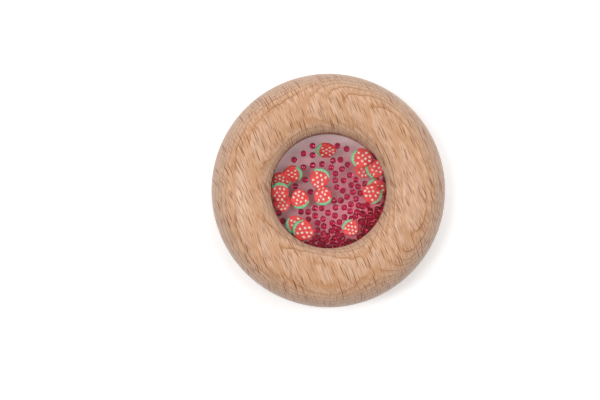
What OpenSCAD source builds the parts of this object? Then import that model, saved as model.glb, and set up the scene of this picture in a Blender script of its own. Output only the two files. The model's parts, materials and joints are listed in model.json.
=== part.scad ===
// Sensory donut rattle: a beech ring in two glued halves, with a clear window on each
// side and a sealed chamber of ruby beads and strawberry slices between the windows.
// The ring lies flat. +Z is its axis, +Y its upper edge, and Z = 0 the crown it rests on.

/* [Beech ring] */
// Outer diameter of the ring
ring_d = 75; // [73:0.5:90]
// Thickness of the ring from crown to crown
ring_t = 25; // [24:0.5:32]
// Radius of the rounded outer edges
outer_round = 10; // [8:0.1:10.5]
// How far the sloping rim around a window reaches outwards
slope_run = 6.6; // [5.5:0.1:7.2]
// How deep the sloping rim falls from the crown to the window's edge
slope_drop = 3.8; // [3:0.1:4.2]
// Height of the straight edge at the foot of the slope
lip_h = 1; // [0.6:0.1:1.4]

/* [Windows] */
// Diameter of the view through a window
view_d = 36.8; // [35:0.2:37.6]
// How far a window reaches under the wooden lip
lip_overlap = 1.6; // [1.2:0.1:3]
// Thickness of a clear window
window_t = 3; // [2:0.1:3.2]
// Gap around the windows in their bore
bore_clear = 0.1; // [0.05:0.05:0.3]

/* [Glue joint] */
// Width of the tongue that centres the two halves
tongue_w = 3; // [2:0.1:5]
// Height of the tongue
tongue_h = 2.5; // [1.5:0.1:4]
// Gap for glue beside and below the tongue
glue_gap = 0.1; // [0.05:0.05:0.3]

/* [Strawberry slices] */
// Length of a slice from leaf to tip
slice_l = 6.4; // [5.4:0.1:6.6]
// Width of a slice across its shoulders
slice_w = 6; // [5:0.1:6.2]
// Radius of the tip
slice_tip_r = 2.2; // [1.8:0.1:2.4]
// Thickness of a slice
slice_t = 1.1; // [0.8:0.1:1.2]

/* [Beads] */
// Diameter of a bead
bead_d = 2.1; // [1.6:0.1:2.2]
// Least gap between loose pieces, and between them and the chamber
loose_gap = 0.1; // [0.05:0.01:0.12]
// Side of the chamber that the heap has slid to, in degrees from +X
heap_bearing = -42; // [-60:1:-20]
// How far the round inner edge of the heap is set off from the middle of the chamber
heap_offset = 12; // [8:0.5:16]
// Width of the closely covered floor on the heap's side
cover_w = 9.5; // [8:0.5:14]
// Width over which the heap slopes down to the floor
heap_w = 13.5; // [6:0.5:15]
// Rise of the heap for each millimetre of its width
heap_slope = 0.5; // [0.3:0.05:0.6]
// Beads let fall on the covered floor, of which those with room stay
cover_falls = 6000; // [500:500:9000]
// Beads let fall on the heap, of which those with a pocket stay
heap_falls = 6000; // [500:500:9000]
// Number that sets where the beads fall
fall_seed = 11; // [1:1:99]

/* [Hidden] */
$fn = 96;

// Ring and windows, as radii and heights
ring_r = ring_d / 2;
half_t = ring_t / 2;
view_r = view_d / 2;
crown_in_r = view_r + slope_run;
crown_out_r = ring_r - outer_round;
slope_r = (slope_run ^ 2 + slope_drop ^ 2) / (2 * slope_drop);
seat_h = half_t - slope_drop - lip_h;
window_r = view_r + lip_overlap;
bore_r = window_r + bore_clear;
floor_z = half_t - seat_h + window_t;
ceiling_z = half_t + seat_h - window_t;
tongue_mid_r = (bore_r + ring_r) / 2;

// Slices, lowest first: bearing from the middle of the chamber, share of the free radius,
// bearing of the leaf, lean, bearing of the side that the lean raises, and share of full size
slice_places = [
    [32, 0.8, 95, 0, 0, 1],
    [3, 0.925, 148, 0, 0, 1],
    [155, 0.76, 8, 36, 90, 1],
    [194, 0.91, 100, 0, 0, 1],
    [222, 0.14, -75, 0, 0, 1],
    [226, 0.9, 195, 8, 200, 1],
    [93, 0.775, 180, 45, 90, 1],
    [-59, 0.84, 135, 14, -30, 0.88],
    [25, 1, 200, 16, 26, 1],
    [-4, 0.84, -35, 6, 170, 1.05],
    [168, 0.92, -60, 36, 90, 1],
    [196, 0.57, -70, 6, 160, 1],
    [126, 0.285, 65, 6, 100, 1.04],
    [238, 0.9, 150, 5, 160, 1.1],
    [44, 0.89, 175, 5, 120, 1.08],
    [182, 0.93, 90, 12, 100, 1],
];
slice_count = len(slice_places);
slice_free_r = bore_r - slice_l / 2 - loose_gap;
bed_top = bead_d + 2 * loose_gap;

// Beads: the rules that they settle by
bead_r = bead_d / 2;
bead_pitch = bead_d + loose_gap;
bead_free_r = bore_r - bead_r - loose_gap;
perch_least = 0.05 * bead_d;
pocket_rise = 0.85 * bead_d;
props_per_slice = 3;
prop_share = 0.5;

// Beads that lie singly on the open floor, from the top of the chamber downwards
lone_beads = [
    [-5, 14.5], [3, 14.5], [6, 13.5], [-8, 12], [-5, 11.5], [-11, 10], [1.6, 9.7], [4, 10],
    [-2, 8.6], [-5, 8.2], [6.4, 8.4], [-8, 7.5], [1, 7.5], [4.5, 7], [2.3, 5.5], [7, 5],
    [-7.4, 3.5], [2.3, 3.3], [5, 3.3], [9, 3.5], [7.5, 1.8], [-10.7, 1.4], [9.7, 1.3],
    [12, 2.2], [2.8, 1.1], [-5.7, -0.4], [4.75, 0], [8, -0.5], [10.4, -0.8], [6.1, -2],
    [9, -2.7], [1.9, -3.3], [4.15, -3.2], [7.4, -4.4], [2.4, -5.5], [5.2, -5.5], [9.9, -4.8],
    [-4.3, -5.7], [-2, -5.7], [-8.8, -6.8], [-6.5, -6.9], [0, -7.2], [7.1, -6.7], [9.4, -7],
    [-16, -7.2], [-4.2, -8.1], [2.2, -8.1], [5.3, -8.6], [-6.4, -9.3], [-1.6, -9.2],
    [-14.7, -9.8], [-3.4, -10.5], [1.4, -10.5], [3.7, -10.2], [-1.4, -11.5], [3.3, -12.5],
    [-3.5, -12.8], [1.1, -13], [-1.5, -13.9], [4.4, -14.6], [-3.4, -15.2], [2.2, -15.4],
    [-0.7, -16.2], [-5.4, -16.9], [-2.6, -17.5],
];

function toward(bearing, r) = r * [cos(bearing), sin(bearing)];

// Where a slice lies, its height for its lean, its thickness along the vertical, how its plane
// rises with place, and the radius that it covers from above
function slice_at(i) = toward(slice_places[i][0], slice_places[i][1] * slice_free_r);
function slice_lean(i) = slice_places[i][3];
function slice_size(i) = slice_places[i][5];
function slice_height(i) =
    slice_size(i) * (slice_t * cos(slice_lean(i)) + slice_l * sin(slice_lean(i)));
function slice_depth(i) = slice_size(i) * slice_t / cos(slice_lean(i));
function slice_grade(i) = toward(slice_places[i][4], tan(slice_lean(i)));
function slice_reach(i) =
    (slice_size(i) * (slice_l + slice_t * sin(slice_lean(i))) + loose_gap) / 2;

// How high above the floor the middle of a slice comes to rest: on the bed of beads, or where
// it clears each slice below it at the worst place that both cover
function slices_below(i) = [
    for (j = [0:1:i - 1])
        if (norm(slice_at(i) - slice_at(j)) < slice_reach(i) + slice_reach(j)) j
];
function slice_clear(i, j) =
    let (
        half_apart = (slice_at(i) - slice_at(j)) / 2,
        twist = slice_grade(j) - slice_grade(i),
        shared_r = sqrt(max(slice_reach(i), slice_reach(j)) ^ 2 - half_apart * half_apart)
    )
        slice_rest(j) + half_apart * (slice_grade(i) + slice_grade(j)) + norm(twist) * shared_r
            + (slice_depth(i) + slice_depth(j)) / 2 + loose_gap;
function slice_rest(i) =
    max([bed_top + slice_height(i) / 2, for (j = slices_below(i)) slice_clear(i, j)]);
function slice_name(i) = str("strawberry_slice_", i < 9 ? "0" : "", i + 1);

// How far a point lies inside the wall on the heap's side, measured from the heap's own
// middle, and how high a bead may lie there above those on the floor
function heap_inset(p) = bore_r + heap_offset - norm(p + toward(heap_bearing, heap_offset));
function heap_rise(p) = heap_slope * (heap_w - heap_inset(p));

// The height above the floor's beads at which a bead falling at p meets those at rest
function fall_rise(p, rested) = max([
    0,
    for (b = rested)
        let (d = norm(p - [b.x, b.y]))
            if (d < bead_pitch) b.z + sqrt(bead_pitch ^ 2 - d ^ 2)
]);
function beside_slices(p) =
    min([for (i = [0:slice_count - 1]) norm(p - slice_at(i)) - slice_size(i) * slice_l / 2])
        > bead_r + loose_gap;
function stays(p, rise) = norm(p) <= bead_free_r
    && (rise == 0 || (rise >= perch_least && rise <= heap_rise(p) && beside_slices(p)));

// Lets the beads fall one after another, and keeps those that find a place
function settled(falls, rested, top, i = 0) =
    i == len(falls) ? rested :
    let (rise = fall_rise(falls[i], rested))
        settled(falls, rise <= top && stays(falls[i], rise)
            ? [each rested, [falls[i].x, falls[i].y, rise]] : rested, top, i + 1);

function scattered(count, seed) =
    let (v = rands(-bead_free_r, bead_free_r, 2 * count, seed))
        [for (i = [0:count - 1]) let (p = [v[2 * i], v[2 * i + 1]]) if (heap_inset(p) < cover_w) p];

// Beads that carry each slice of the lowest tier
props = [
    for (i = [0:slice_count - 1])
        if (len(slices_below(i)) == 0)
            for (k = [0:props_per_slice - 1])
                slice_at(i) + toward(slice_places[i][2] + k * 360 / props_per_slice,
                    prop_share * slice_w / 2)
];
bed_beads = settled([each props, each lone_beads, each scattered(cover_falls, fall_seed)], [], 0);
pocket_beads = settled(scattered(heap_falls, fall_seed + 1), bed_beads, pocket_rise);
all_beads = settled(scattered(heap_falls, fall_seed + 2), pocket_beads, ceiling_z - floor_z);
heap_beads = [for (b = all_beads) if (b.z > 0) b];

// Section of one half of the ring, with the glue face at y = 0 and the crown at the top
module half_section() {
    translate([bore_r, 0]) square([crown_in_r - bore_r, seat_h]);
    intersection() {
        translate([crown_in_r, half_t - slope_r]) circle(slope_r);
        translate([view_r, seat_h]) square([slope_run, half_t]);
    }
    translate([crown_in_r, 0]) square([crown_out_r - crown_in_r, half_t]);
    translate([crown_out_r, 0]) square([outer_round, half_t - outer_round]);
    translate([crown_out_r, half_t - outer_round]) intersection() {
        circle(outer_round);
        square(2 * outer_round);
    }
}

// Section of the tongue below the glue face, made wider and deeper by a gap for its groove
module tongue_section(gap) {
    translate([tongue_mid_r - tongue_w / 2 - gap, -tongue_h - gap])
        square([tongue_w + 2 * gap, tongue_h + gap]);
}

module front_ring() {
    color([0.84, 0.67, 0.55]) translate([0, 0, half_t]) rotate_extrude() {
        half_section();
        tongue_section(0);
    }
}

module rear_ring() {
    color([0.8, 0.63, 0.51]) translate([0, 0, half_t]) rotate_extrude() difference() {
        mirror([0, 1]) half_section();
        tongue_section(glue_gap);
    }
}

module front_window() {
    color([0.9, 0.93, 0.95, 0.35]) translate([0, 0, ceiling_z]) cylinder(r = window_r, h = window_t);
}

module rear_window() {
    color([0.9, 0.93, 0.95, 0.35]) translate([0, 0, floor_z - window_t])
        cylinder(r = window_r, h = window_t);
}

module beads_at(places) {
    for (b = places)
        translate([b.x, b.y, floor_z + loose_gap + bead_r + b.z]) sphere(bead_r);
}

module bead_bed() {
    color([0.55, 0.1, 0.2]) beads_at(bed_beads);
}

module bead_heap() {
    color([0.5, 0.08, 0.18]) beads_at(heap_beads);
}

// A slice seen from above, with the leaf at +X: a broad and a narrow circle, and the
// straight sides that touch both
module slice_outline() {
    shoulder_r = slice_w / 2;
    shoulder_x = slice_l / 2 - shoulder_r;
    tip_x = slice_tip_r - slice_l / 2;
    taper = asin((shoulder_r - slice_tip_r) / (shoulder_x - tip_x));
    side = [-sin(taper), cos(taper)];
    translate([shoulder_x, 0]) circle(shoulder_r);
    translate([tip_x, 0]) circle(slice_tip_r);
    polygon([
        [shoulder_x, 0] + shoulder_r * side,
        [tip_x, 0] + slice_tip_r * side,
        [tip_x, 0] + slice_tip_r * [side.x, -side.y],
        [shoulder_x, 0] + shoulder_r * [side.x, -side.y],
    ]);
}

module strawberry_slice(i) {
    at = slice_at(i);
    raised = slice_places[i][4];
    color([0.91, 0.32, 0.31])
        translate([at.x, at.y, floor_z + slice_rest(i)])
            rotate(slice_lean(i), [sin(raised), -cos(raised), 0])
                rotate(slice_places[i][2]) scale(slice_size(i))
                    linear_extrude(slice_t, center = true) slice_outline();
}

front_ring();
rear_ring();
front_window();
rear_window();
bead_bed();
bead_heap();
for (i = [0:slice_count - 1])
    strawberry_slice(i);
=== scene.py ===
# %% [markdown]
# # A donut rattle of beech
# The rattle is a turned beech ring with a clear window on each side. Between the windows lie small ruby
# beads and strawberry slices of polymer clay, which swirl and click when the ring is shaken.
#
# The construction is ready: a frame of named solids, at their real size in metres, with +Z as the ring's
# axis. This lesson leaves each solid where it is and gives it the surface, the softened edges and the
# finish of the real piece. Each new piece rides on the same body as the solid that it stands for, so the
# two move together.

# %% Load the frame
import json
import math
import random

import bmesh
import bpy
import numpy as np
from mathutils import Matrix, Vector


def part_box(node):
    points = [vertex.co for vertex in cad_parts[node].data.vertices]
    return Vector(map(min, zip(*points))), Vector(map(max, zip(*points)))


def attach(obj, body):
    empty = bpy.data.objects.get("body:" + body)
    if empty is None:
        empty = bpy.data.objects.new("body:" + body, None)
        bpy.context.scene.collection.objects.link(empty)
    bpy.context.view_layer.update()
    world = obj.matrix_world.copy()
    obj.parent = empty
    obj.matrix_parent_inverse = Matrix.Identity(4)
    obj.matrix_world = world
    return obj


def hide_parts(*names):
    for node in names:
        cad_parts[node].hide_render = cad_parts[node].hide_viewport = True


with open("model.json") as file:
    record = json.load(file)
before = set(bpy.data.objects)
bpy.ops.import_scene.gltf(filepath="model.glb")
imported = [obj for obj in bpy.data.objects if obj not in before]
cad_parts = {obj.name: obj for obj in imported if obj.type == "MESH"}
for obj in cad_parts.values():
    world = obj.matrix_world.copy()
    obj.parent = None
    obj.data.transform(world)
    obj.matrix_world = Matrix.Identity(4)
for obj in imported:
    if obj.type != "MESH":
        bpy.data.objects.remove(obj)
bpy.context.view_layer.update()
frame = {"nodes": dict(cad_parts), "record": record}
# One millimetre, in the frame's metres
MM = 0.001

# %% [markdown]
# ## The ring's own measures
# A turned ring is known by a few radii and heights. They could be typed in again here, but they are read
# from the corners of the two halves' meshes, so that they can't drift away from the construction. The
# smallest radius is the edge of the view, the flat crown is what lies at the top, and the tongue of the
# glue joint is what hangs below the middle.

# %% Measure the ring
# Corners closer than this share a radius or a height
TOUCH = 0.02 * MM
# The groove's corners are looked for this far around the tongue
NEAR_TONGUE = 0.5 * MM


def radii_and_heights(node):
    """The distance from the axis and the height of each corner of a CAD node."""
    corners = np.array([v.co for v in frame["nodes"][node].data.vertices])
    return np.hypot(corners[:, 0], corners[:, 1]), corners[:, 2]


r, z = radii_and_heights("front_ring")
top_z = z.max()
mid_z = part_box("rear_ring")[1].z
ring_r = r.max()
view_r = r.min()
seat_z = z[r < view_r + TOUCH].min()
lip_z = z[r < view_r + TOUCH].max()
crown_in_r = r[z > top_z - TOUCH].min()
crown_out_r = r[z > top_z - TOUCH].max()
bore_r = r[z < seat_z - TOUCH].min()
tongue_z = z.min()
tongue_in_r = r[z < mid_z - TOUCH].min()
tongue_out_r = r[z < mid_z - TOUCH].max()
r, z = radii_and_heights("rear_ring")
beside_tongue = (r > tongue_in_r - NEAR_TONGUE) & (r < tongue_out_r + NEAR_TONGUE)
in_groove = beside_tongue & (z > tongue_z - NEAR_TONGUE)
groove_in_r = r[in_groove].min()
groove_out_r = r[in_groove].max()
groove_z = z[in_groove].min()
print("ring radius", ring_r, "view", view_r, "bore", bore_r, "crown", crown_in_r, "to", crown_out_r)

# %% [markdown]
# ## The camera
# The photo looks straight down on the ring, which lies a little right of and above the middle of the
# picture. A camera with no rotation looks down its own -Z with +Y up, so it only needs the right place
# and lens. The ring's radius in pixels gives the scale, and the height above it sets how strong the
# perspective is: a product photo is taken from well away, so the height is 8 ring widths.

# %% Place the camera
PHOTO_W = 600
PHOTO_H = 400
RING_CENTRE_PX = (328.2, 190.6)
RING_RADIUS_PX = 116.3
SENSOR_W = 36
# Height of the camera, in ring widths
CAMERA_HEIGHT = 8

camera_z = CAMERA_HEIGHT * 2 * ring_r
metres_per_px = ring_r / RING_RADIUS_PX
camera_data = bpy.data.cameras.new("photo_camera")
camera_data.sensor_width = SENSOR_W
camera_data.lens = SENSOR_W * (camera_z - mid_z) / (PHOTO_W * metres_per_px)
camera = bpy.data.objects.new("photo_camera", camera_data)
camera.location = (
    (PHOTO_W / 2 - RING_CENTRE_PX[0]) * metres_per_px,
    (RING_CENTRE_PX[1] - PHOTO_H / 2) * metres_per_px,
    camera_z,
)
bpy.context.scene.collection.objects.link(camera)
bpy.context.scene.camera = camera
bpy.context.scene.view_settings.view_transform = "Standard"
print("lens", round(camera_data.lens, 1), "mm at", [round(x, 4) for x in camera.location])

# %% [markdown]
# ## Shader maths as Python expressions
# A finish such as beech is a formula over the place on the surface. It could be drawn as a web of nodes,
# but a formula is easier to read as Python. A Field wraps one socket. The operators on it add Math nodes,
# or Vector Math nodes where a vector takes part, and any other node comes from Finish.node: first its
# settings, then its sockets.

# %% Wrap a socket
class Field:
    """One output socket of a node, which Python's operators join with numbers and other fields."""

    def __init__(self, finish, socket):
        self.finish = finish
        self.socket = socket

    def __add__(self, other):
        return self.finish.calc("ADD", self, other)

    def __sub__(self, other):
        return self.finish.calc("SUBTRACT", self, other)

    def __rsub__(self, other):
        return self.finish.calc("SUBTRACT", other, self)

    def __mul__(self, other):
        return self.finish.calc("MULTIPLY", self, other)

    def __truediv__(self, other):
        return self.finish.calc("DIVIDE", self, other)

    def __rtruediv__(self, other):
        return self.finish.calc("DIVIDE", other, self)

    __radd__ = __add__
    __rmul__ = __mul__


def is_vector(term):
    """True for three numbers in a tuple, and for a field of vectors."""
    return isinstance(term, tuple) or isinstance(term, Field) and term.socket.type == "VECTOR"


def between(share, low, high):
    """A field that goes from low to high as share goes from 0 to 1."""
    return share * (high - low) + low


print("fields are ready")

# %% Fill a node tree
class Finish:
    """A node tree that is filled by expressions."""

    def __init__(self, tree):
        self.tree = tree
        self.tree.nodes.clear()

    def node(self, kind, settings, sockets, out=0):
        """Adds a node of this kind and gives the output that is asked for."""
        made = self.tree.nodes.new(kind)
        for name, value in settings.items():
            setattr(made, name, value)
        for key, value in sockets.items():
            socket = self.find(made.inputs, key)
            if isinstance(value, Field):
                self.tree.links.new(value.socket, socket)
            elif socket.type == "RGBA":
                socket.default_value = (*value, 1)
            else:
                socket.default_value = value
        return Field(self, self.find(made.outputs, out)) if made.outputs else None

    def find(self, sockets, key):
        """The socket with this number, identifier or name."""
        if isinstance(key, int):
            return sockets[key]
        return next(s for s in sockets if key in (s.identifier, s.name))

    def calc(self, operation, *terms):
        """A Math node, or a Vector Math node where a vector takes part."""
        vectors = any(is_vector(term) for term in terms)
        kind = "ShaderNodeVectorMath" if vectors else "ShaderNodeMath"
        out = "Vector" if vectors and operation not in ("LENGTH", "DOT_PRODUCT") else "Value"
        return self.node(kind, {"operation": operation}, dict(enumerate(terms)), out)

    def blend(self, share, first, second):
        """A colour that goes from first to second as share goes from 0 to 1."""
        sockets = {"Factor_Float": share, "A_Color": first, "B_Color": second}
        return self.node("ShaderNodeMix", {"data_type": "RGBA"}, sockets, "Result_Color")

    def step(self, value, low, high):
        """0 below low, 1 above high, and a smooth rise between them."""
        sockets = {"Value": value, "From Min": low, "From Max": high}
        return self.node("ShaderNodeMapRange", {"interpolation_type": "SMOOTHSTEP"}, sockets)

    def fade(self, value, low, high, share=1):
        """1 below low, less by share above high, and a smooth fall between them."""
        return 1 - self.step(value, low, high) * share

    def cloud(self, place, size, detail=2):
        """Noise from 0 to 1 with patches of about size, one number or one for each direction."""
        scaled = place / (size if isinstance(size, tuple) else (size, size, size))
        sockets = {"Vector": scaled, "Scale": 1.0, "Detail": float(detail)}
        return self.node("ShaderNodeTexNoise", {"noise_dimensions": "3D"}, sockets, "Fac")

    def place(self):
        """The place on the object, in millimetres."""
        return self.node("ShaderNodeTexCoord", {}, {}, "Object") * (1 / MM, 1 / MM, 1 / MM)

    def part(self, vector, axis):
        """The X, Y or Z of a vector."""
        return self.node("ShaderNodeSeparateXYZ", {}, {0: vector}, axis)

    def light_path(self, ray):
        """1 for light rays of one kind, and 0 for the others."""
        return self.node("ShaderNodeLightPath", {}, {}, f"Is {ray} Ray")

    def end(self, shader, out="ShaderNodeOutputMaterial"):
        """Joins the shader to the tree's output."""
        self.node(out, {}, {"Surface": shader})


def new_material(name):
    """A material, and the finish that fills its node tree."""
    material = bpy.data.materials.new(name)
    material.use_nodes = True
    return material, Finish(material.node_tree)


print("finishes are ready")

# %% [markdown]
# ## The floor
# The photo is a product shot on white, with a thin pale shadow at the right. A white background alone
# would lose that shadow, so the floor is a pale card that takes it. What the camera, mirrors and clear
# pieces see of the card gets some glow of its own, so that the lit card reaches white at a plain light
# level. The glow fades out under the ring, where a real card lies in shade, but it reaches in under the
# window's upper part as painted light. It rises to white far out, where the lamps' light falls off.

# %% Lay the floor
# Half the floor's width, in metres
FLOOR_HALF = 1.5
FLOOR_COLOUR = (0.9, 0.9, 0.9)
FLOOR_GLOW = (0.35, 0.35, 0.35)
BLACK = (0, 0, 0)
WHITE = (1, 1, 1)
# Where the lamps' light begins to fall off on the card, and where it has gone, in millimetres
FAR_CARD = (150, 700)
# Middle of the ring, and middle of the painted shade on the card seen through it, set low so that the glow
# paints light towards the window's upper edge, in millimetres
RING_MIDDLE = (0, 0, 0)
PAINTED_SHADE_MIDDLE = (1, -12, 0)


def seen_directly(finish):
    """1 for what the camera sees, also in mirrors and through clear pieces, and 0 for other light."""
    camera, mirror, clear = [finish.light_path(ray) for ray in ("Camera", "Glossy", "Transmission")]
    return finish.calc("MAXIMUM", finish.calc("MAXIMUM", camera, mirror), clear)


def from_middle(card, middle):
    """The distance from the middle, in millimetres."""
    return card.calc("LENGTH", card.place() - middle)


def outside(card, middle):
    """0 within a window's radius of the middle, and 1 beyond the ring's."""
    return card.step(from_middle(card, middle), view_r / MM, ring_r / MM)


def pale_card():
    """Matt card with a glow for what is seen directly, fading out in the ring's shade, with painted light
    towards the window's upper edge.
    """
    material, card = new_material("pale_card")
    # The glow reaches in under the window's upper part: painted light on the card
    glow_share = card.calc("MAXIMUM", outside(card, RING_MIDDLE), outside(card, PAINTED_SHADE_MIDDLE))
    far_card = card.blend(card.step(from_middle(card, RING_MIDDLE), *FAR_CARD), FLOOR_GLOW, WHITE)
    glow = card.blend(seen_directly(card) * glow_share, BLACK, far_card)
    sockets = {"Base Color": FLOOR_COLOUR, "Roughness": 0.9, "Specular IOR Level": 0.0,
               "Emission Color": glow, "Emission Strength": 1.0}
    card.end(card.node("ShaderNodeBsdfPrincipled", {}, sockets))
    return material


floor_mesh = bpy.data.meshes.new("floor")
corners = [(x * FLOOR_HALF, y * FLOOR_HALF, 0) for x, y in ((-1, -1), (1, -1), (1, 1), (-1, 1))]
floor_mesh.from_pydata(corners, [], [(0, 1, 2, 3)])
floor_mesh.materials.append(pale_card())
floor = bpy.data.objects.new("floor", floor_mesh)
bpy.context.scene.collection.objects.link(floor)
print("floor of", 2 * FLOOR_HALF, "m")

# %% [markdown]
# ## The surroundings
# A studio's walls give soft light from all round, here more from the upper edge of the picture. They work
# in the same way as the card: dim as a lamp, and white as a background. A real studio has the dark camera
# and ceiling straight above, and that is what the flat window mirrors. So in mirrors and through clear
# pieces the surroundings darken overhead.

# %% Surround it
SKY_UPPER = (0.42, 0.42, 0.42)
SKY_LOWER = (0.1, 0.1, 0.1)
CEILING = (0.1, 0.1, 0.1)
# The ceiling's edge, from where it begins to where it is whole: 0 is the horizon, 1 is straight above
CEILING_EDGE = (0.55, 0.9)

world = bpy.data.worlds.new("studio")
world.use_nodes = True
bpy.context.scene.world = world
studio = Finish(world.node_tree)
direction = studio.node("ShaderNodeTexCoord", {}, {}, "Generated")
overhead = studio.step(studio.part(direction, "Z"), *CEILING_EDGE) * (1 - studio.light_path("Camera"))
seen = studio.blend(overhead, WHITE, CEILING)
sky = studio.blend(studio.step(studio.part(direction, "Y"), -1, 1), SKY_LOWER, SKY_UPPER)
dim, bright = [studio.node("ShaderNodeBackground", {}, {"Color": colour, "Strength": 1.0})
               for colour in (sky, seen)]
mixed = studio.node("ShaderNodeMixShader", {}, {0: seen_directly(studio), 1: dim, 2: bright})
studio.end(mixed, "ShaderNodeOutputWorld")
print("sky from", SKY_LOWER[0], "to", SKY_UPPER[0])

# %% [markdown]
# ## The lamps
# One large lamp would light the wood, but each bead in the photo has lights at its left and right. So two
# softboxes stand nearly overhead and two lower down, in each pair one at the left and one at the right.
# The left ones are the stronger, and throw the shadow to the right. A fifth, very large, lights the ring
# softly from the upper edge of the picture.
#
# A lamp's level is the brightness that it alone gives to a level white card. With the sky the levels make
# about 1, so that a colour renders as it is written.

# %% Light it
LAMP_DISTANCE = 20 * ring_r


def lamp(name, bearing, tilt, size, level):
    """A square softbox: bearing from +X and tilt from overhead in degrees, size in ring radii, level."""
    a, t = math.radians(bearing), math.radians(tilt)
    out = Vector((math.sin(t) * math.cos(a), math.sin(t) * math.sin(a), math.cos(t)))
    data = bpy.data.lights.new(name, "AREA")
    data.size = size * ring_r
    data.energy = level * (math.pi * LAMP_DISTANCE) ** 2 / math.cos(t)
    box = bpy.data.objects.new(name, data)
    box.location = out * LAMP_DISTANCE
    box.rotation_euler = (-out).to_track_quat("-Z", "Y").to_euler()
    bpy.context.scene.collection.objects.link(box)
    return box


lamps = [
    lamp("key_softbox", 176, 14, 4, 0.25),
    lamp("second_softbox", 354, 16, 4, 0.11),
    lamp("left_softbox", 192, 38, 3, 0.13),
    lamp("top_softbox", 85, 38, 14, 0.18),
    lamp("right_softbox", 6, 36, 3, 0.08),
]
print("lamps", [(one.name, round(one.data.energy, 2)) for one in lamps])

# %% [markdown]
# ## Oiled beech
# Beech shows three things. Growth layers are thin darker sheets through the block: here they lie nearly
# flat, so that they come out as wide warm bands on the crown and as close contour lines on the slopes,
# crisp in some places and faint in others. Rays are thin upright ribbons along the grain, which wavers a
# little. From above they are short dark dashes that break off here and there. They are faint where the
# cut runs flat along them and on the ring's upright sides. Fine fibres streak everything along the grain.
# On the steep slopes the colour turns greyer and darker: a painted sheen and shade of the light that grazes
# them.
#
# A flat picture of wood wrapped round the ring would be simple, but its lines would stretch on the slopes
# and have no depth. So all of this is worked out in the solid block, in millimetres, and the figure turns
# the corner as it does on a real turned ring. A light oil leaves a satin gloss.

# %% Set the grain and grow the layers
GRAIN_BEARING = math.radians(-67)
# Thickness of a layer, and its rise for each millimetre across the grain
LAYER_T = 1.2
LAYER_TILT = 0.07
# How the layers swell: the patches along the grain, across it and in height, their detail, and the rise
SWELLS = (((70, 20, 60), 0, 10), ((14, 1.5, 10), 2, 0.6), ((200, 200, 5), 0, 3))


def block_of(wood, start):
    """The place in the block, in millimetres, with X along the grain and the ring's origin at start."""
    turn = {"Vector": wood.place(), "Location": start, "Rotation": (0, 0, -GRAIN_BEARING)}
    return wood.node("ShaderNodeMapping", {"vector_type": "POINT"}, turn)


def layers(wood, block):
    """How far a place is through its growth layer, from 0 to 1."""
    swell = sum(wood.cloud(block, patch, detail) * rise for patch, detail, rise in SWELLS)
    flat = wood.part(block, "Z") + wood.part(block, "Y") * LAYER_TILT
    return wood.calc("FRACT", (flat + swell) / LAYER_T)


print("grain at", round(math.degrees(GRAIN_BEARING)), "degrees, layers of", LAYER_T, "mm")

# %% Cut the rays
# Length and width of the wood that holds one ray, for the broad rays and for the fine ones
BROAD_RAY = (16.0, 0.95, 1)
FINE_RAY = (7.5, 0.52, 1)
# A ray's edge, as shares of that wood, and how the rays differ in strength
RAY_EDGE = (0.08, 0.17)
RAY_STRENGTH = (0, 0.45)
# Patches that break the rays off, and how much of the wood they leave whole
RAY_BREAK = (16, 1.5, 6)
RAY_WHOLE = (0.2, 0.38)
# How much the rays lean across the grain for each millimetre of height, and how they waver
RAY_LEAN = -0.15
WAVER_PATCH = (45, 30, 60)
WAVER = 5
# Where the rays fade, and by how much: on cuts that run flat along them, and on upright sides
FLAT_FADE = (0.8, 0.98, 0.85)
SIDE_FADE = (0.85, 1.0, 0.55)


def cut_angles(wood):
    """How flat the cut runs along the rays, and how steep it is, both from 0 to 1."""
    normal = wood.node("ShaderNodeTexCoord", {}, {}, "Normal")
    across_grain = (-math.sin(GRAIN_BEARING), math.cos(GRAIN_BEARING), 0)
    flat_cut = wood.calc("ABSOLUTE", wood.calc("DOT_PRODUCT", normal, across_grain))
    level = wood.part(normal, "Z")
    return flat_cut, wood.calc("SQRT", 1 - level * level)


def rays_of(wood, block, ray_wood):
    """1 in the middle of the rays of one kind, fading to 0 beside them."""
    ribbon = {"Vector": block / ray_wood, "Scale": 1.0}
    near, own = [wood.node("ShaderNodeTexVoronoi", {"voronoi_dimensions": "2D"}, ribbon, out)
                 for out in ("Distance", "Color")]
    chance = wood.node("ShaderNodeSeparateColor", {}, {0: own}, "Red")
    whole = wood.step(wood.cloud(block, RAY_BREAK, 0), *RAY_WHOLE)
    return wood.fade(near, *RAY_EDGE) * wood.step(chance, *RAY_STRENGTH) * whole


def rays(wood, block, flat_cut, slope):
    """The rays of both kinds, as far as the cut shows them."""
    waver = wood.cloud(block, WAVER_PATCH, 0) * WAVER
    lean = {"Y": wood.part(block, "Z") * RAY_LEAN + waver}
    leaning = block + wood.node("ShaderNodeCombineXYZ", {}, lean)
    both = wood.calc("MAXIMUM", rays_of(wood, leaning, BROAD_RAY), rays_of(wood, leaning, FINE_RAY))
    return both * (wood.fade(flat_cut, *FLAT_FADE) * wood.fade(slope, *SIDE_FADE))


print("broad rays in", BROAD_RAY[:2], "mm of wood, fine rays in", FINE_RAY[:2])

# %% Colour the beech
PALE_BEECH = (0.74, 0.45, 0.285)
WARM_BEECH = (0.52, 0.278, 0.158)
BAND_BEECH = (0.58, 0.28, 0.12)
LATE_BEECH = (0.3, 0.11, 0.03)
# Painted grey sheen and shade for the steep slopes, where light grazes the wood
SHEEN_GREY_BEECH = (0.5, 0.43, 0.38)
RAY_BROWN = (0.24, 0.07, 0.01)
# The ground goes from pale to warm by the fibres, and for a small share by broader tones
TONE_PATCH = (18, 5, 14)
TONE_SHARE = 0.15
GROUND_STEP = (0.36, 0.65)
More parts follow.
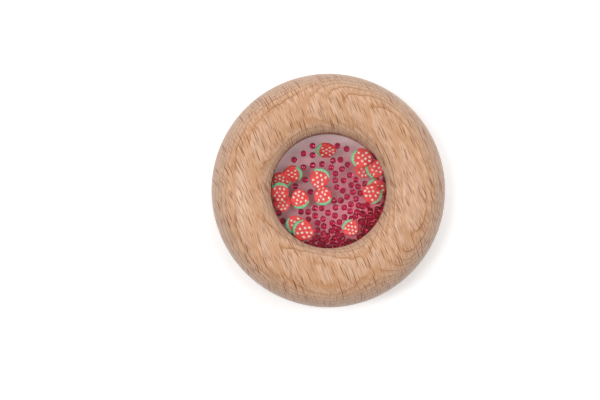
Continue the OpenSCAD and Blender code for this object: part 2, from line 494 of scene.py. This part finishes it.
# Where in a layer its band and its line rise, and where the next layer starts
BAND_RISE = (0.3, 0.95)
LINE_RISE = (0.8, 0.93)
NEXT_LAYER = (0.95, 1.0)
# How the fibres break up a band and a line
BAND_STREAK = (0.35, 0.95)
LINE_STREAK = (0.5, 1.1)
# Slopes where lines come and where they weaken again, and the patches in which they are crisp or faint
LINE_SLOPE = (0.08, 0.45)
LINE_FADE = (0.8, 1.0, 0.5)
LINE_PATCH = (30, 14, 20)
PATCH_STEP = (0.38, 0.6)
PATCH_CRISP = (0.4, 1.0)
# Slopes where the painted grey sheen and shade come in, and how much of them
SHEEN_SLOPE = (0.3, 0.9)
SHEEN_SHARE = 0.3


def beech_colour(wood, block, fibre, ray, slope):
    """The ground, its bands and lines, the painted grey sheen and shade of the steep slopes, and the rays,
    one over the other.
    """
    tone = wood.cloud(block, TONE_PATCH, 2)
    mottle = tone * TONE_SHARE + fibre * (1 - TONE_SHARE)
    ground = wood.blend(wood.step(mottle, *GROUND_STEP), PALE_BEECH, WARM_BEECH)
    layer = layers(wood, block)
    ends = wood.fade(layer, *NEXT_LAYER)
    band = wood.step(layer, *BAND_RISE) * ends
    banded = wood.blend(band * between(fibre, *BAND_STREAK), ground, BAND_BEECH)
    line = wood.step(layer, *LINE_RISE) * ends
    on_slope = wood.step(slope, *LINE_SLOPE) * wood.fade(slope, *LINE_FADE)
    crisp = between(wood.step(wood.cloud(block, LINE_PATCH, 1), *PATCH_STEP), *PATCH_CRISP)
    lined = wood.blend(line * on_slope * crisp * between(fibre, *LINE_STREAK), banded, LATE_BEECH)
    # Painted sheen and shade: the steep slopes turn greyer and darker
    sheened = wood.blend(wood.step(slope, *SHEEN_SLOPE) * SHEEN_SHARE, lined, SHEEN_GREY_BEECH)
    return wood.blend(ray, sheened, RAY_BROWN)


print("beech from", PALE_BEECH, "to", WARM_BEECH)

# %% Make the beech finish
FIBRE_PATCH = (4, 0.34, 0.8)
BEECH_ROUGHNESS = (0.28, 0.48)
# Depth of the open rays, and the height of the fibres as a share of it
RAY_DEPTH = 0.02 * MM
FIBRE_HEIGHT = 0.4
# Where in the block each half is cut from, in millimetres
FRONT_START = (0, 0, 0)
REAR_START = (37, 12, 21)


def beech(name, start):
    """Oiled beech, cut from the block at start."""
    material, wood = new_material(name)
    block = block_of(wood, start)
    fibre = wood.cloud(block, FIBRE_PATCH, 2)
    flat_cut, slope = cut_angles(wood)
    ray = rays(wood, block, flat_cut, slope)
    dents = {"Height": fibre * FIBRE_HEIGHT - ray, "Distance": RAY_DEPTH, "Strength": 0.3}
    sockets = {
        "Base Color": beech_colour(wood, block, fibre, ray, slope),
        "Roughness": between(fibre, *BEECH_ROUGHNESS),
        "Normal": wood.node("ShaderNodeBump", {}, dents),
        "IOR": 1.45,
    }
    wood.end(wood.node("ShaderNodeBsdfPrincipled", {}, sockets))
    return material


front_beech = beech("front_beech", FRONT_START)
rear_beech = beech("rear_beech", REAR_START)
print("finishes", front_beech.name, rear_beech.name)

# %% [markdown]
# ## The two halves of the ring
# On the lathe each half is one section, turned about the axis. A screw modifier could do that, but a loop
# over points keeps full control of the section: arcs for the rounded outside and for the slope down to
# the window, a tiny round where the turner takes off the sharp edge, and a hairline chamfer at the glue
# joint that shows as a fine seam from the side. The rear half is the same section upside down, with a
# groove for the tongue.

# %% Draw the section
EDGE_ROUND = 0.35 * MM
SEAM_CHAMFER = 0.12 * MM
# How many straight pieces make each arc
SEAT_STEPS = 4
LIP_STEPS = 6
SLOPE_STEPS = 22
ROUND_STEPS = 30


def arc(centre, radius, first, last, steps):
    """Points on an arc of the section, by their bearing in degrees."""
    bearings = np.radians(np.linspace(first, last, steps + 1))
    return [(centre[0] + radius * math.cos(a), centre[1] + radius * math.sin(a)) for a in bearings]


def half_section(joint):
    """The section of a half, from the bore up over the crown and down to the glue face."""
    slope_run = crown_in_r - view_r
    slope_drop = top_z - lip_z
    slope_r = (slope_run ** 2 + slope_drop ** 2) / (2 * slope_drop)
    foot = 90 + math.degrees(math.asin(slope_run / slope_r))
    outer_round = ring_r - crown_out_r
    # The length of slope that the round at its foot takes up
    shift = EDGE_ROUND / math.sin(math.radians(foot - 90))
    return [
        (bore_r, mid_z),
        (bore_r, seat_z),
        *arc((view_r + EDGE_ROUND / 2, seat_z + EDGE_ROUND / 2), EDGE_ROUND / 2, 270, 180, SEAT_STEPS),
        *arc((view_r + EDGE_ROUND, lip_z - EDGE_ROUND / 2), EDGE_ROUND, 180, foot, LIP_STEPS),
        *arc((crown_in_r, top_z - slope_r), slope_r, foot - math.degrees(shift / slope_r), 90, SLOPE_STEPS),
        *arc((crown_out_r, top_z - outer_round), outer_round, 90, 0, ROUND_STEPS),
        (ring_r, (mid_z + top_z - outer_round) / 2),
        (ring_r, mid_z + SEAM_CHAMFER),
        (ring_r - SEAM_CHAMFER, mid_z),
        *joint,
    ]


def flipped(section):
    """The section upside down, about the glue joint."""
    return [(p[0], 2 * mid_z - p[1]) for p in section]


tongue = [(tongue_out_r, mid_z), (tongue_out_r, tongue_z), (tongue_in_r, tongue_z), (tongue_in_r, mid_z)]
groove = [(groove_out_r, mid_z), (groove_out_r, groove_z), (groove_in_r, groove_z), (groove_in_r, mid_z)]
front_section = half_section(tongue)
rear_section = flipped(half_section(flipped(groove)))
print("sections of", len(front_section), "and", len(rear_section), "points")

# %% Turn the ring
TURNS = 256
# Corners closer than this are one corner, in metres
WELD = 1e-7


def as_object(name, shape, materials, crease=35):
    """A mesh object with smooth faces, sharp where they meet at more than crease degrees."""
    bmesh.ops.remove_doubles(shape, verts=shape.verts, dist=WELD)
    bmesh.ops.recalc_face_normals(shape, faces=shape.faces)
    mesh = bpy.data.meshes.new(name)
    shape.to_mesh(mesh)
    shape.free()
    mesh.shade_smooth()
    mesh.set_sharp_from_angle(angle=math.radians(crease))
    for material in materials:
        mesh.materials.append(material)
    piece = bpy.data.objects.new(name, mesh)
    bpy.context.scene.collection.objects.link(piece)
    return piece


def turned(name, section, material):
    """A ring or disc with this section, closed all round."""
    shape = bmesh.new()
    hoops = []
    for k in range(TURNS):
        a = 2 * math.pi * k / TURNS
        hoops.append([shape.verts.new((p[0] * math.cos(a), p[0] * math.sin(a), p[1])) for p in section])
    for k, hoop in enumerate(hoops):
        after = hoops[(k + 1) % TURNS]
        for i in range(len(section)):
            j = (i + 1) % len(section)
            shape.faces.new((hoop[i], after[i], after[j], hoop[j]))
    return as_object(name, shape, [material])


def dress(piece, node):
    """The piece stands for a CAD node: it rides on the node's body, and the node is hidden."""
    record = frame["record"]
    bodies = record["behaviour"]["bodies"]
    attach(piece, next(body for body, members in bodies.items() if node in members))
    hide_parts(node)


front_ring = turned("front_ring_beech", front_section, front_beech)
rear_ring = turned("rear_ring_beech", rear_section, rear_beech)
dress(front_ring, "front_ring")
dress(rear_ring, "rear_ring")
print("turned", len(front_ring.data.vertices), "points for the front half")

# %% [markdown]
# ## The clear windows
# A window is a polished disc of acrylic behind the lip. It could be left as the plain CAD disc, but a cut
# disc has a fine chamfer that catches light, so it is turned like the ring. Clear plastic that bends
# light would leave the chamber dark, because the renderer's lamp rays don't bend. So for lamp rays and
# for soft light from other surfaces, the disc is a plain see-through film.

# %% Mix the clear acrylic
FRONT_TINT = (0.985, 0.975, 0.975)
# The rear pane's rose colour is painted light: the pink light that the ruby beads throw on the card below
REAR_ROSE_LIGHT = (0.955, 0.855, 0.86)
# Size of the smudges in millimetres, how much of the pane they cover, and their roughness
SMUDGE_SIZE = 6
SMUDGE_STEP = (0.45, 0.8)
SMUDGE_ROUGHNESS = 0.03


# The colour is the front pane's own faint tint, and painted rose light for the rear pane
def clear_acrylic(name, tint_and_rose_light):
    """Polished acrylic that lets lamps through, with the faint unevenness of handled plastic."""
    material, pane = new_material(name)
    smudge = pane.step(pane.cloud(pane.place(), SMUDGE_SIZE), *SMUDGE_STEP)
    sockets = {"Base Color": tint_and_rose_light, "Roughness": smudge * SMUDGE_ROUGHNESS, "IOR": 1.49,
               "Transmission Weight": 1.0}
    clear = pane.node("ShaderNodeBsdfPrincipled", {}, sockets)
    film = pane.node("ShaderNodeBsdfTransparent", {}, {"Color": tint_and_rose_light})
    for ray in ("Shadow", "Diffuse"):
        clear = pane.node("ShaderNodeMixShader", {}, {0: pane.light_path(ray), 1: clear, 2: film})
    pane.end(clear)
    return material


front_acrylic = clear_acrylic("front_acrylic", FRONT_TINT)
# The rear pane carries painted rose light from the beads
rear_acrylic = clear_acrylic("rear_acrylic", REAR_ROSE_LIGHT)
print("panes", front_acrylic.name, rear_acrylic.name)

# %% Make the windows
WINDOW_CHAMFER = 0.25 * MM


def window(node, material):
    """A chamfered disc in place of a window's CAD disc."""
    low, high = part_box(node)
    c = WINDOW_CHAMFER
    section = [(0, low.z), (high.x - c, low.z), (high.x, low.z + c),
               (high.x, high.z - c), (high.x - c, high.z), (0, high.z)]
    disc = turned(node + "_acrylic", section, material)
    dress(disc, node)
    return disc


windows = [window("front_window", front_acrylic), window("rear_window", rear_acrylic)]
print("windows", [disc.name for disc in windows])

# %% [markdown]
# ## Ruby beads
# The beads are small drops of ruby glass. Instancing one perfect ball would be quick, but drops differ:
# each is a little flattened, has its own size and keeps a shallow mark where it was cut off. The CAD
# holds all the beads of a layer in one node, so the places come from its separate islands. As with the
# windows, lamp rays pass through the glass as through a film, so that a bead casts a pink shade and not a
# black one.

# %% Melt the ruby glass
RUBY = (0.76, 0.06, 0.2)
RUBY_LIGHT = (0.98, 0.6, 0.68)
# Streaks of denser glass: their size in millimetres, and their tone as a share of the rest
CORD_SIZE = 0.7
CORD_TONE = 0.75


def ruby_glass():
    """Clear ruby glass with denser streaks, which lamp rays pass as a pale film."""
    material, ruby = new_material("ruby_glass")
    cord = ruby.cloud(ruby.place(), CORD_SIZE)
    colour = ruby.blend(cord, RUBY, tuple(CORD_TONE * c for c in RUBY))
    sockets = {"Base Color": colour, "Roughness": 0.02, "IOR": 1.5, "Transmission Weight": 1.0}
    glass = ruby.node("ShaderNodeBsdfPrincipled", {}, sockets)
    film = ruby.node("ShaderNodeBsdfTransparent", {}, {"Color": RUBY_LIGHT})
    mixed = ruby.node("ShaderNodeMixShader", {}, {0: ruby.light_path("Shadow"), 1: glass, 2: film})
    ruby.end(mixed)
    return material


glass = ruby_glass()
print("glass", glass.name)

# %% Find the beads' places
# Corners of the CAD mesh closer than this are one corner
CAD_WELD = TOUCH / 10


def islands(mesh):
    """The corners of each connected piece of a mesh, sorted from left to right so that no run differs."""
    shape = bmesh.new()
    shape.from_mesh(mesh)
    bmesh.ops.remove_doubles(shape, verts=shape.verts, dist=CAD_WELD)
    left = set(shape.verts)
    found = []
    while left:
        group = []
        waiting = [left.pop()]
        while waiting:
            corner = waiting.pop()
            group.append(corner.co.copy())
            for edge in corner.link_edges:
                other = edge.other_vert(corner)
                if other in left:
                    left.remove(other)
                    waiting.append(other)
        found.append(np.array(group))
    shape.free()
    return sorted(found, key=lambda group: tuple(group.min(0)))


bead_places = {node: islands(frame["nodes"][node].data) for node in ("bead_bed", "bead_heap")}
print("places", {node: len(groups) for node, groups in bead_places.items()})

# %% Make the beads
BEAD_SEED = 5
# A drop's size and its flattening, as shares of its ball
DROP_SIZE = (0.99, 1.0)
DROP_FLAT = (0.98, 1.0)
# Where the cut mark starts, as a share of the radius, and how much of the cap beyond it is gone
MARK_START = 0.94
MARK_DEPTH = 0.8


def glass_drop(shape, centre, radius, chance):
    """Adds one bead: a ball, slightly flattened, with a shallow cut mark, turned any way."""
    size = chance.uniform(*DROP_SIZE)
    flat = chance.uniform(*DROP_FLAT)
    turn = Matrix.Rotation(chance.uniform(0, math.tau), 4, "Z")
    spin = turn @ Matrix.Rotation(chance.uniform(0, math.pi), 4, "X")
    ball = bmesh.ops.create_icosphere(shape, subdivisions=3, radius=1)
    for corner in ball["verts"]:
        mark = max(0, corner.co.z - MARK_START) * MARK_DEPTH
        pressed = Vector((corner.co.x, corner.co.y, (corner.co.z - mark) * flat))
        corner.co = centre + (spin @ pressed) * size * radius


def beads(node, groups):
    """All beads of a node, one glass drop at the middle of each island."""
    chance = random.Random(BEAD_SEED)
    shape = bmesh.new()
    for group in groups:
        low, high = group.min(0), group.max(0)
        glass_drop(shape, Vector((low + high) / 2), (high - low).max() / 2, chance)
    piece = as_object(node + "_glass", shape, [glass], crease=80)
    dress(piece, node)
    print(node, len(groups), "beads")


for node, groups in bead_places.items():
    beads(node, groups)

# %% [markdown]
# ## Where the slices lie
# Each slice lies its own way, flat or leaning on a neighbour. Its place could be written down again, but
# the CAD solid holds it: the flat faces give the normal and the thickness, and the lean of the outline
# towards the tip gives the leaf's direction.

# %% Read where a slice lies
# Faces point the same way where the dot product of their normals is above this
SAME_WAY = 0.999
# Places in a triangle, and their weights, that sum a cubic function over it exactly
CUBIC_PLACES = ((1 / 3, 1 / 3, 1 / 3), (0.6, 0.2, 0.2), (0.2, 0.6, 0.2), (0.2, 0.2, 0.6))
CUBIC_WEIGHTS = (-27 / 48, 25 / 48, 25 / 48, 25 / 48)


def slice_frame(node):
    """The slice's own axes as a matrix, X to the leaf and Z out of its upper face, and its three sizes."""
    mesh = frame["nodes"][node].data
    mesh.calc_loop_triangles()
    corners = np.array([v.co for v in mesh.vertices])
    triangles = corners[[t.vertices[:] for t in mesh.loop_triangles]]
    crosses = np.cross(triangles[:, 1] - triangles[:, 0], triangles[:, 2] - triangles[:, 0])
    areas = np.linalg.norm(crosses, axis=1) / 2
    normals = crosses / (2 * areas[:, None])
    alike = normals @ normals.T > SAME_WAY
    up = crosses[alike[np.argmax(alike @ areas)]].sum(0)
    up = up / np.linalg.norm(up) * np.sign(up[2])
    face = normals @ up > SAME_WAY
    middle = np.average(triangles[face].mean(1), axis=0, weights=areas[face])
    lean = np.zeros(3)
    for place, weight in zip(CUBIC_PLACES, CUBIC_WEIGHTS):
        arm = np.einsum("k,nkd->nd", place, triangles[face]) - middle
        lean += weight * (areas[face][:, None] * (arm ** 2).sum(1, keepdims=True) * arm).sum(0)
    leaf = -lean / np.linalg.norm(lean)
    axes = np.array([leaf, np.cross(up, leaf), up])
    spans = corners @ axes.T
    low, high = spans.min(0), spans.max(0)
    matrix = Matrix(axes.T).to_4x4()
    matrix.translation = Vector(axes.T @ ((low + high) / 2))
    return matrix, [float(size) for size in high - low]


slice_nodes = sorted(name for name in frame["nodes"] if name.startswith("strawberry_slice"))
for name in slice_nodes:
    matrix, sizes = slice_frame(name)
    leaf_bearing = math.degrees(math.atan2(matrix[1][0], matrix[0][0]))
    print(name, "leaf at", round(leaf_bearing), "sizes", [round(s / MM, 2) for s in sizes])

# %% [markdown]
# ## Three clays
# The slices are of baked polymer clay in red, green and cream. One flat colour each would look like
# plastic. Clay is kneaded by hand, so each has two close tones that never quite mix, a satin skin and a
# faintly uneven cut.

# %% Make the three clays
FLESH = (0.92, 0.075, 0.07)
FLESH_DEEP = (0.8, 0.046, 0.048)
LEAF = (0.17, 0.64, 0.31)
LEAF_PALE = (0.29, 0.76, 0.43)
SEED = (0.99, 0.9, 0.81)
SEED_WARM = (0.97, 0.79, 0.66)
KNEAD_STEP = (0.35, 0.7)
CLAY_ROUGHNESS = (0.48, 0.68)
# Size of the cut's unevenness in millimetres, and its depth
CUT_SIZE = 0.12
CUT_DEPTH = 0.012 * MM


def clay(name, first, second, patch):
    """Baked clay of two tones, kneaded together in patches of this size in millimetres."""
    material, paste = new_material(name)
    place = paste.place()
    knead = paste.cloud(place, patch, 3)
    uneven = {"Height": paste.cloud(place, CUT_SIZE, 2), "Distance": CUT_DEPTH, "Strength": 0.5}
    sockets = {
        "Base Color": paste.blend(paste.step(knead, *KNEAD_STEP), first, second),
        "Roughness": between(knead, *CLAY_ROUGHNESS),
        "Normal": paste.node("ShaderNodeBump", {}, uneven),
        "IOR": 1.45,
    }
    paste.end(paste.node("ShaderNodeBsdfPrincipled", {}, sockets))
    return material


clays = [
    clay("flesh_clay", FLESH, FLESH_DEEP, 1.6),
    clay("leaf_clay", LEAF, LEAF_PALE, 0.8),
    clay("seed_clay", SEED, SEED_WARM, 0.4),
]
print("clays", [material.name for material in clays])

# %% [markdown]
# ## Strawberry slices
# The slices are cut from a stick of clay that has the picture running right through it: red flesh, a
# green leaf along the broad end, and cream seeds. A painted pattern would be simpler but has no edges for
# the light to catch. So seeds and leaf are solids that go through the slice and stand a hair proud of
# both faces, which is what a worn cut edge of three clays looks like.

# %% Shape the flesh
# Places of the three clays in the list
FLESH_CLAY, LEAF_CLAY, SEED_CLAY = range(3)
# Radius of the tip, as a share of the slice's width
TIP_SHARE = 0.37
OUTLINE_POINTS = 96
EDGE_POINTS = 5
FLESH_ROUND = 0.22 * MM
# The cut's unevenness, and how many waves it has round the outline
UNEVEN_CUT = 0.04 * MM
OUTLINE_WAVES = 3


def outline_point(bearing, sizes):
    """The outline's point and normal at a normal's bearing: a broad circle at the leaf, a narrow tip."""
    broad_r = sizes[1] / 2
    tip_r = TIP_SHARE * sizes[1]
    broad_x = sizes[0] / 2 - broad_r
    tip_x = tip_r - sizes[0] / 2
    taper = math.asin((broad_r - tip_r) / (broad_x - tip_x))
    normal = Vector((math.cos(bearing), math.sin(bearing), 0))
    if normal.x > -math.sin(taper):
        return Vector((broad_x, 0, 0)) + broad_r * normal, normal
    return Vector((tip_x, 0, 0)) + tip_r * normal, normal


def edge_steps(half_t, rounding):
    """How far in and how high the rounded edge runs, from the upper face to the lower one."""
    upper = [(rounding * (1 - math.sin(a)), half_t - rounding * (1 - math.cos(a)))
             for a in np.radians(np.linspace(0, 90, EDGE_POINTS))]
    return upper + [(inset, -height) for inset, height in reversed(upper)]


def loft(shape, rows, tone):
    """Faces between closed rows of points, with the first and last row capped."""
    made = [[shape.verts.new(p) for p in row] for row in rows]
    faces = []
    for first, second in zip(made, made[1:]):
        count = len(first)
        for i in range(count):
            j = (i + 1) % count
            faces.append(shape.faces.new((first[i], first[j], second[j], second[i])))
    faces.append(shape.faces.new(made[0]))
    faces.append(shape.faces.new(made[-1]))
    for face in faces:
        face.material_index = tone


def add_flesh(shape, sizes, chance):
    """The red slice, with a rounded edge and a slightly uneven outline."""
    bearings = np.linspace(0, math.tau, OUTLINE_POINTS, endpoint=False)
    swing = chance.uniform(0, math.tau)
    rows = []
    for inset, height in edge_steps(sizes[2] / 2, FLESH_ROUND):
        row = []
        for bearing in bearings:
            point, normal = outline_point(bearing, sizes)
            uneven = UNEVEN_CUT * (1 + math.sin(OUTLINE_WAVES * bearing + swing))
            row.append(point - normal * (inset + uneven) + Vector((0, 0, height)))
        rows.append(row)
    loft(shape, rows, FLESH_CLAY)


print("outline of", OUTLINE_POINTS, "points, edge rounded by", FLESH_ROUND / MM, "mm")

# %% Shape the leaf
LEAF_PROUD = 0.03 * MM
# Half of the leaf's arc round the broad end, in degrees
LEAF_HALF_ARC = 64
LEAF_DEPTH = 1.05 * MM
LEAF_END_DEPTH = 0.06 * MM
# Below 1, the leaf keeps its depth for longer towards its ends
LEAF_TAPER = 0.6
LEAF_TEETH = 6
STEPS_PER_TOOTH = 4
TOOTH = 0.55 * MM


def add_leaf(shape, sizes):
    """A crescent along the broad end, with a toothed inner edge, through the whole slice."""
    half_t = sizes[2] / 2 + LEAF_PROUD
    steps = LEAF_TEETH * STEPS_PER_TOOTH
    rows = []
    for k in range(steps + 1):
        share = 2 * k / steps - 1
        point, normal = outline_point(math.radians(LEAF_HALF_ARC) * share, sizes)
        swell = max(0, 1 - share * share) ** LEAF_TAPER
        saw = abs(2 * ((k / STEPS_PER_TOOTH) % 1) - 1)
        depth = LEAF_END_DEPTH + swell * (LEAF_DEPTH - TOOTH * saw)
        squeeze = min(1, depth / FLESH_ROUND)
        row = [point + normal * (LEAF_PROUD - inset * squeeze) + Vector((0, 0, height))
               for inset, height in edge_steps(half_t, FLESH_ROUND)]
        row += [point - normal * depth + Vector((0, 0, height)) for height in (-half_t, half_t)]
        rows.append(row)
    loft(shape, rows, LEAF_CLAY)


print("leaf of", LEAF_TEETH, "teeth over", 2 * LEAF_HALF_ARC, "degrees")

# %% Shape the seeds
SEED_PROUD = 0.05 * MM
# Half length and half width of a seed, as shares of its slice's half length
SEED_HALF = (0.13, 0.1)
SEED_SIDES = 14
# A seed's dome: shares of its half sizes, and of its rise
SEED_DOME = ((0.25, 1), (0.7, 0.7), (1, 0))
# How far seeds are turned, in radians, and moved, in millimetres
SEED_TURN = 0.5
SEED_SHIFT = 0.08
# Rows of seeds from the leaf to the tip: place along the slice and places across it, as shares of its
# half sizes
SEED_ROWS = (
    (0.36, (-0.52, 0, 0.52)),
    (0, (-0.27, 0.27)),
    (-0.36, (-0.52, 0, 0.52)),
    (-0.7, (-0.2, 0.2)),
)


def add_seed(shape, spot, sizes, chance):
    """A seed that goes through the slice, with a low dome on both faces."""
    turn = Matrix.Rotation(chance.gauss(0, SEED_TURN), 3, "Z")
    long, wide = (share * sizes[0] / 2 for share in SEED_HALF)
    levels = [(share, sizes[2] / 2 + rise * SEED_PROUD) for share, rise in SEED_DOME]
    levels += [(share, -height) for share, height in reversed(levels)]
    rows = []
    for share, height in levels:
        ring = []
        for a in np.linspace(0, math.tau, SEED_SIDES, endpoint=False):
            flat = turn @ Vector((long * share * math.cos(a), wide * share * math.sin(a), 0))
            ring.append(spot + flat + Vector((0, 0, height)))
        rows.append(ring)
    loft(shape, rows, SEED_CLAY)


print(sum(len(places) for along, places in SEED_ROWS), "seeds in each slice")

# %% Cut the slices
def strawberry_slice(node):
    """One slice in place of its CAD solid, made in its own axes and then laid where it belongs."""
    matrix, sizes = slice_frame(node)
    chance = random.Random(node)
    shape = bmesh.new()
    add_flesh(shape, sizes, chance)
    add_leaf(shape, sizes)
    for along, places in SEED_ROWS:
        for across in places:
            shift = Vector((chance.gauss(0, SEED_SHIFT), chance.gauss(0, SEED_SHIFT), 0)) * MM
            spot = Vector((along * sizes[0] / 2, across * sizes[1] / 2, 0)) + shift
            add_seed(shape, spot, sizes, chance)
    piece = as_object(node + "_clay", shape, clays, crease=40)
    piece.data.transform(matrix)
    dress(piece, node)
    return piece


slices = [strawberry_slice(node) for node in slice_nodes]
print(len(slices), "slices of", len(slices[0].data.polygons), "faces")
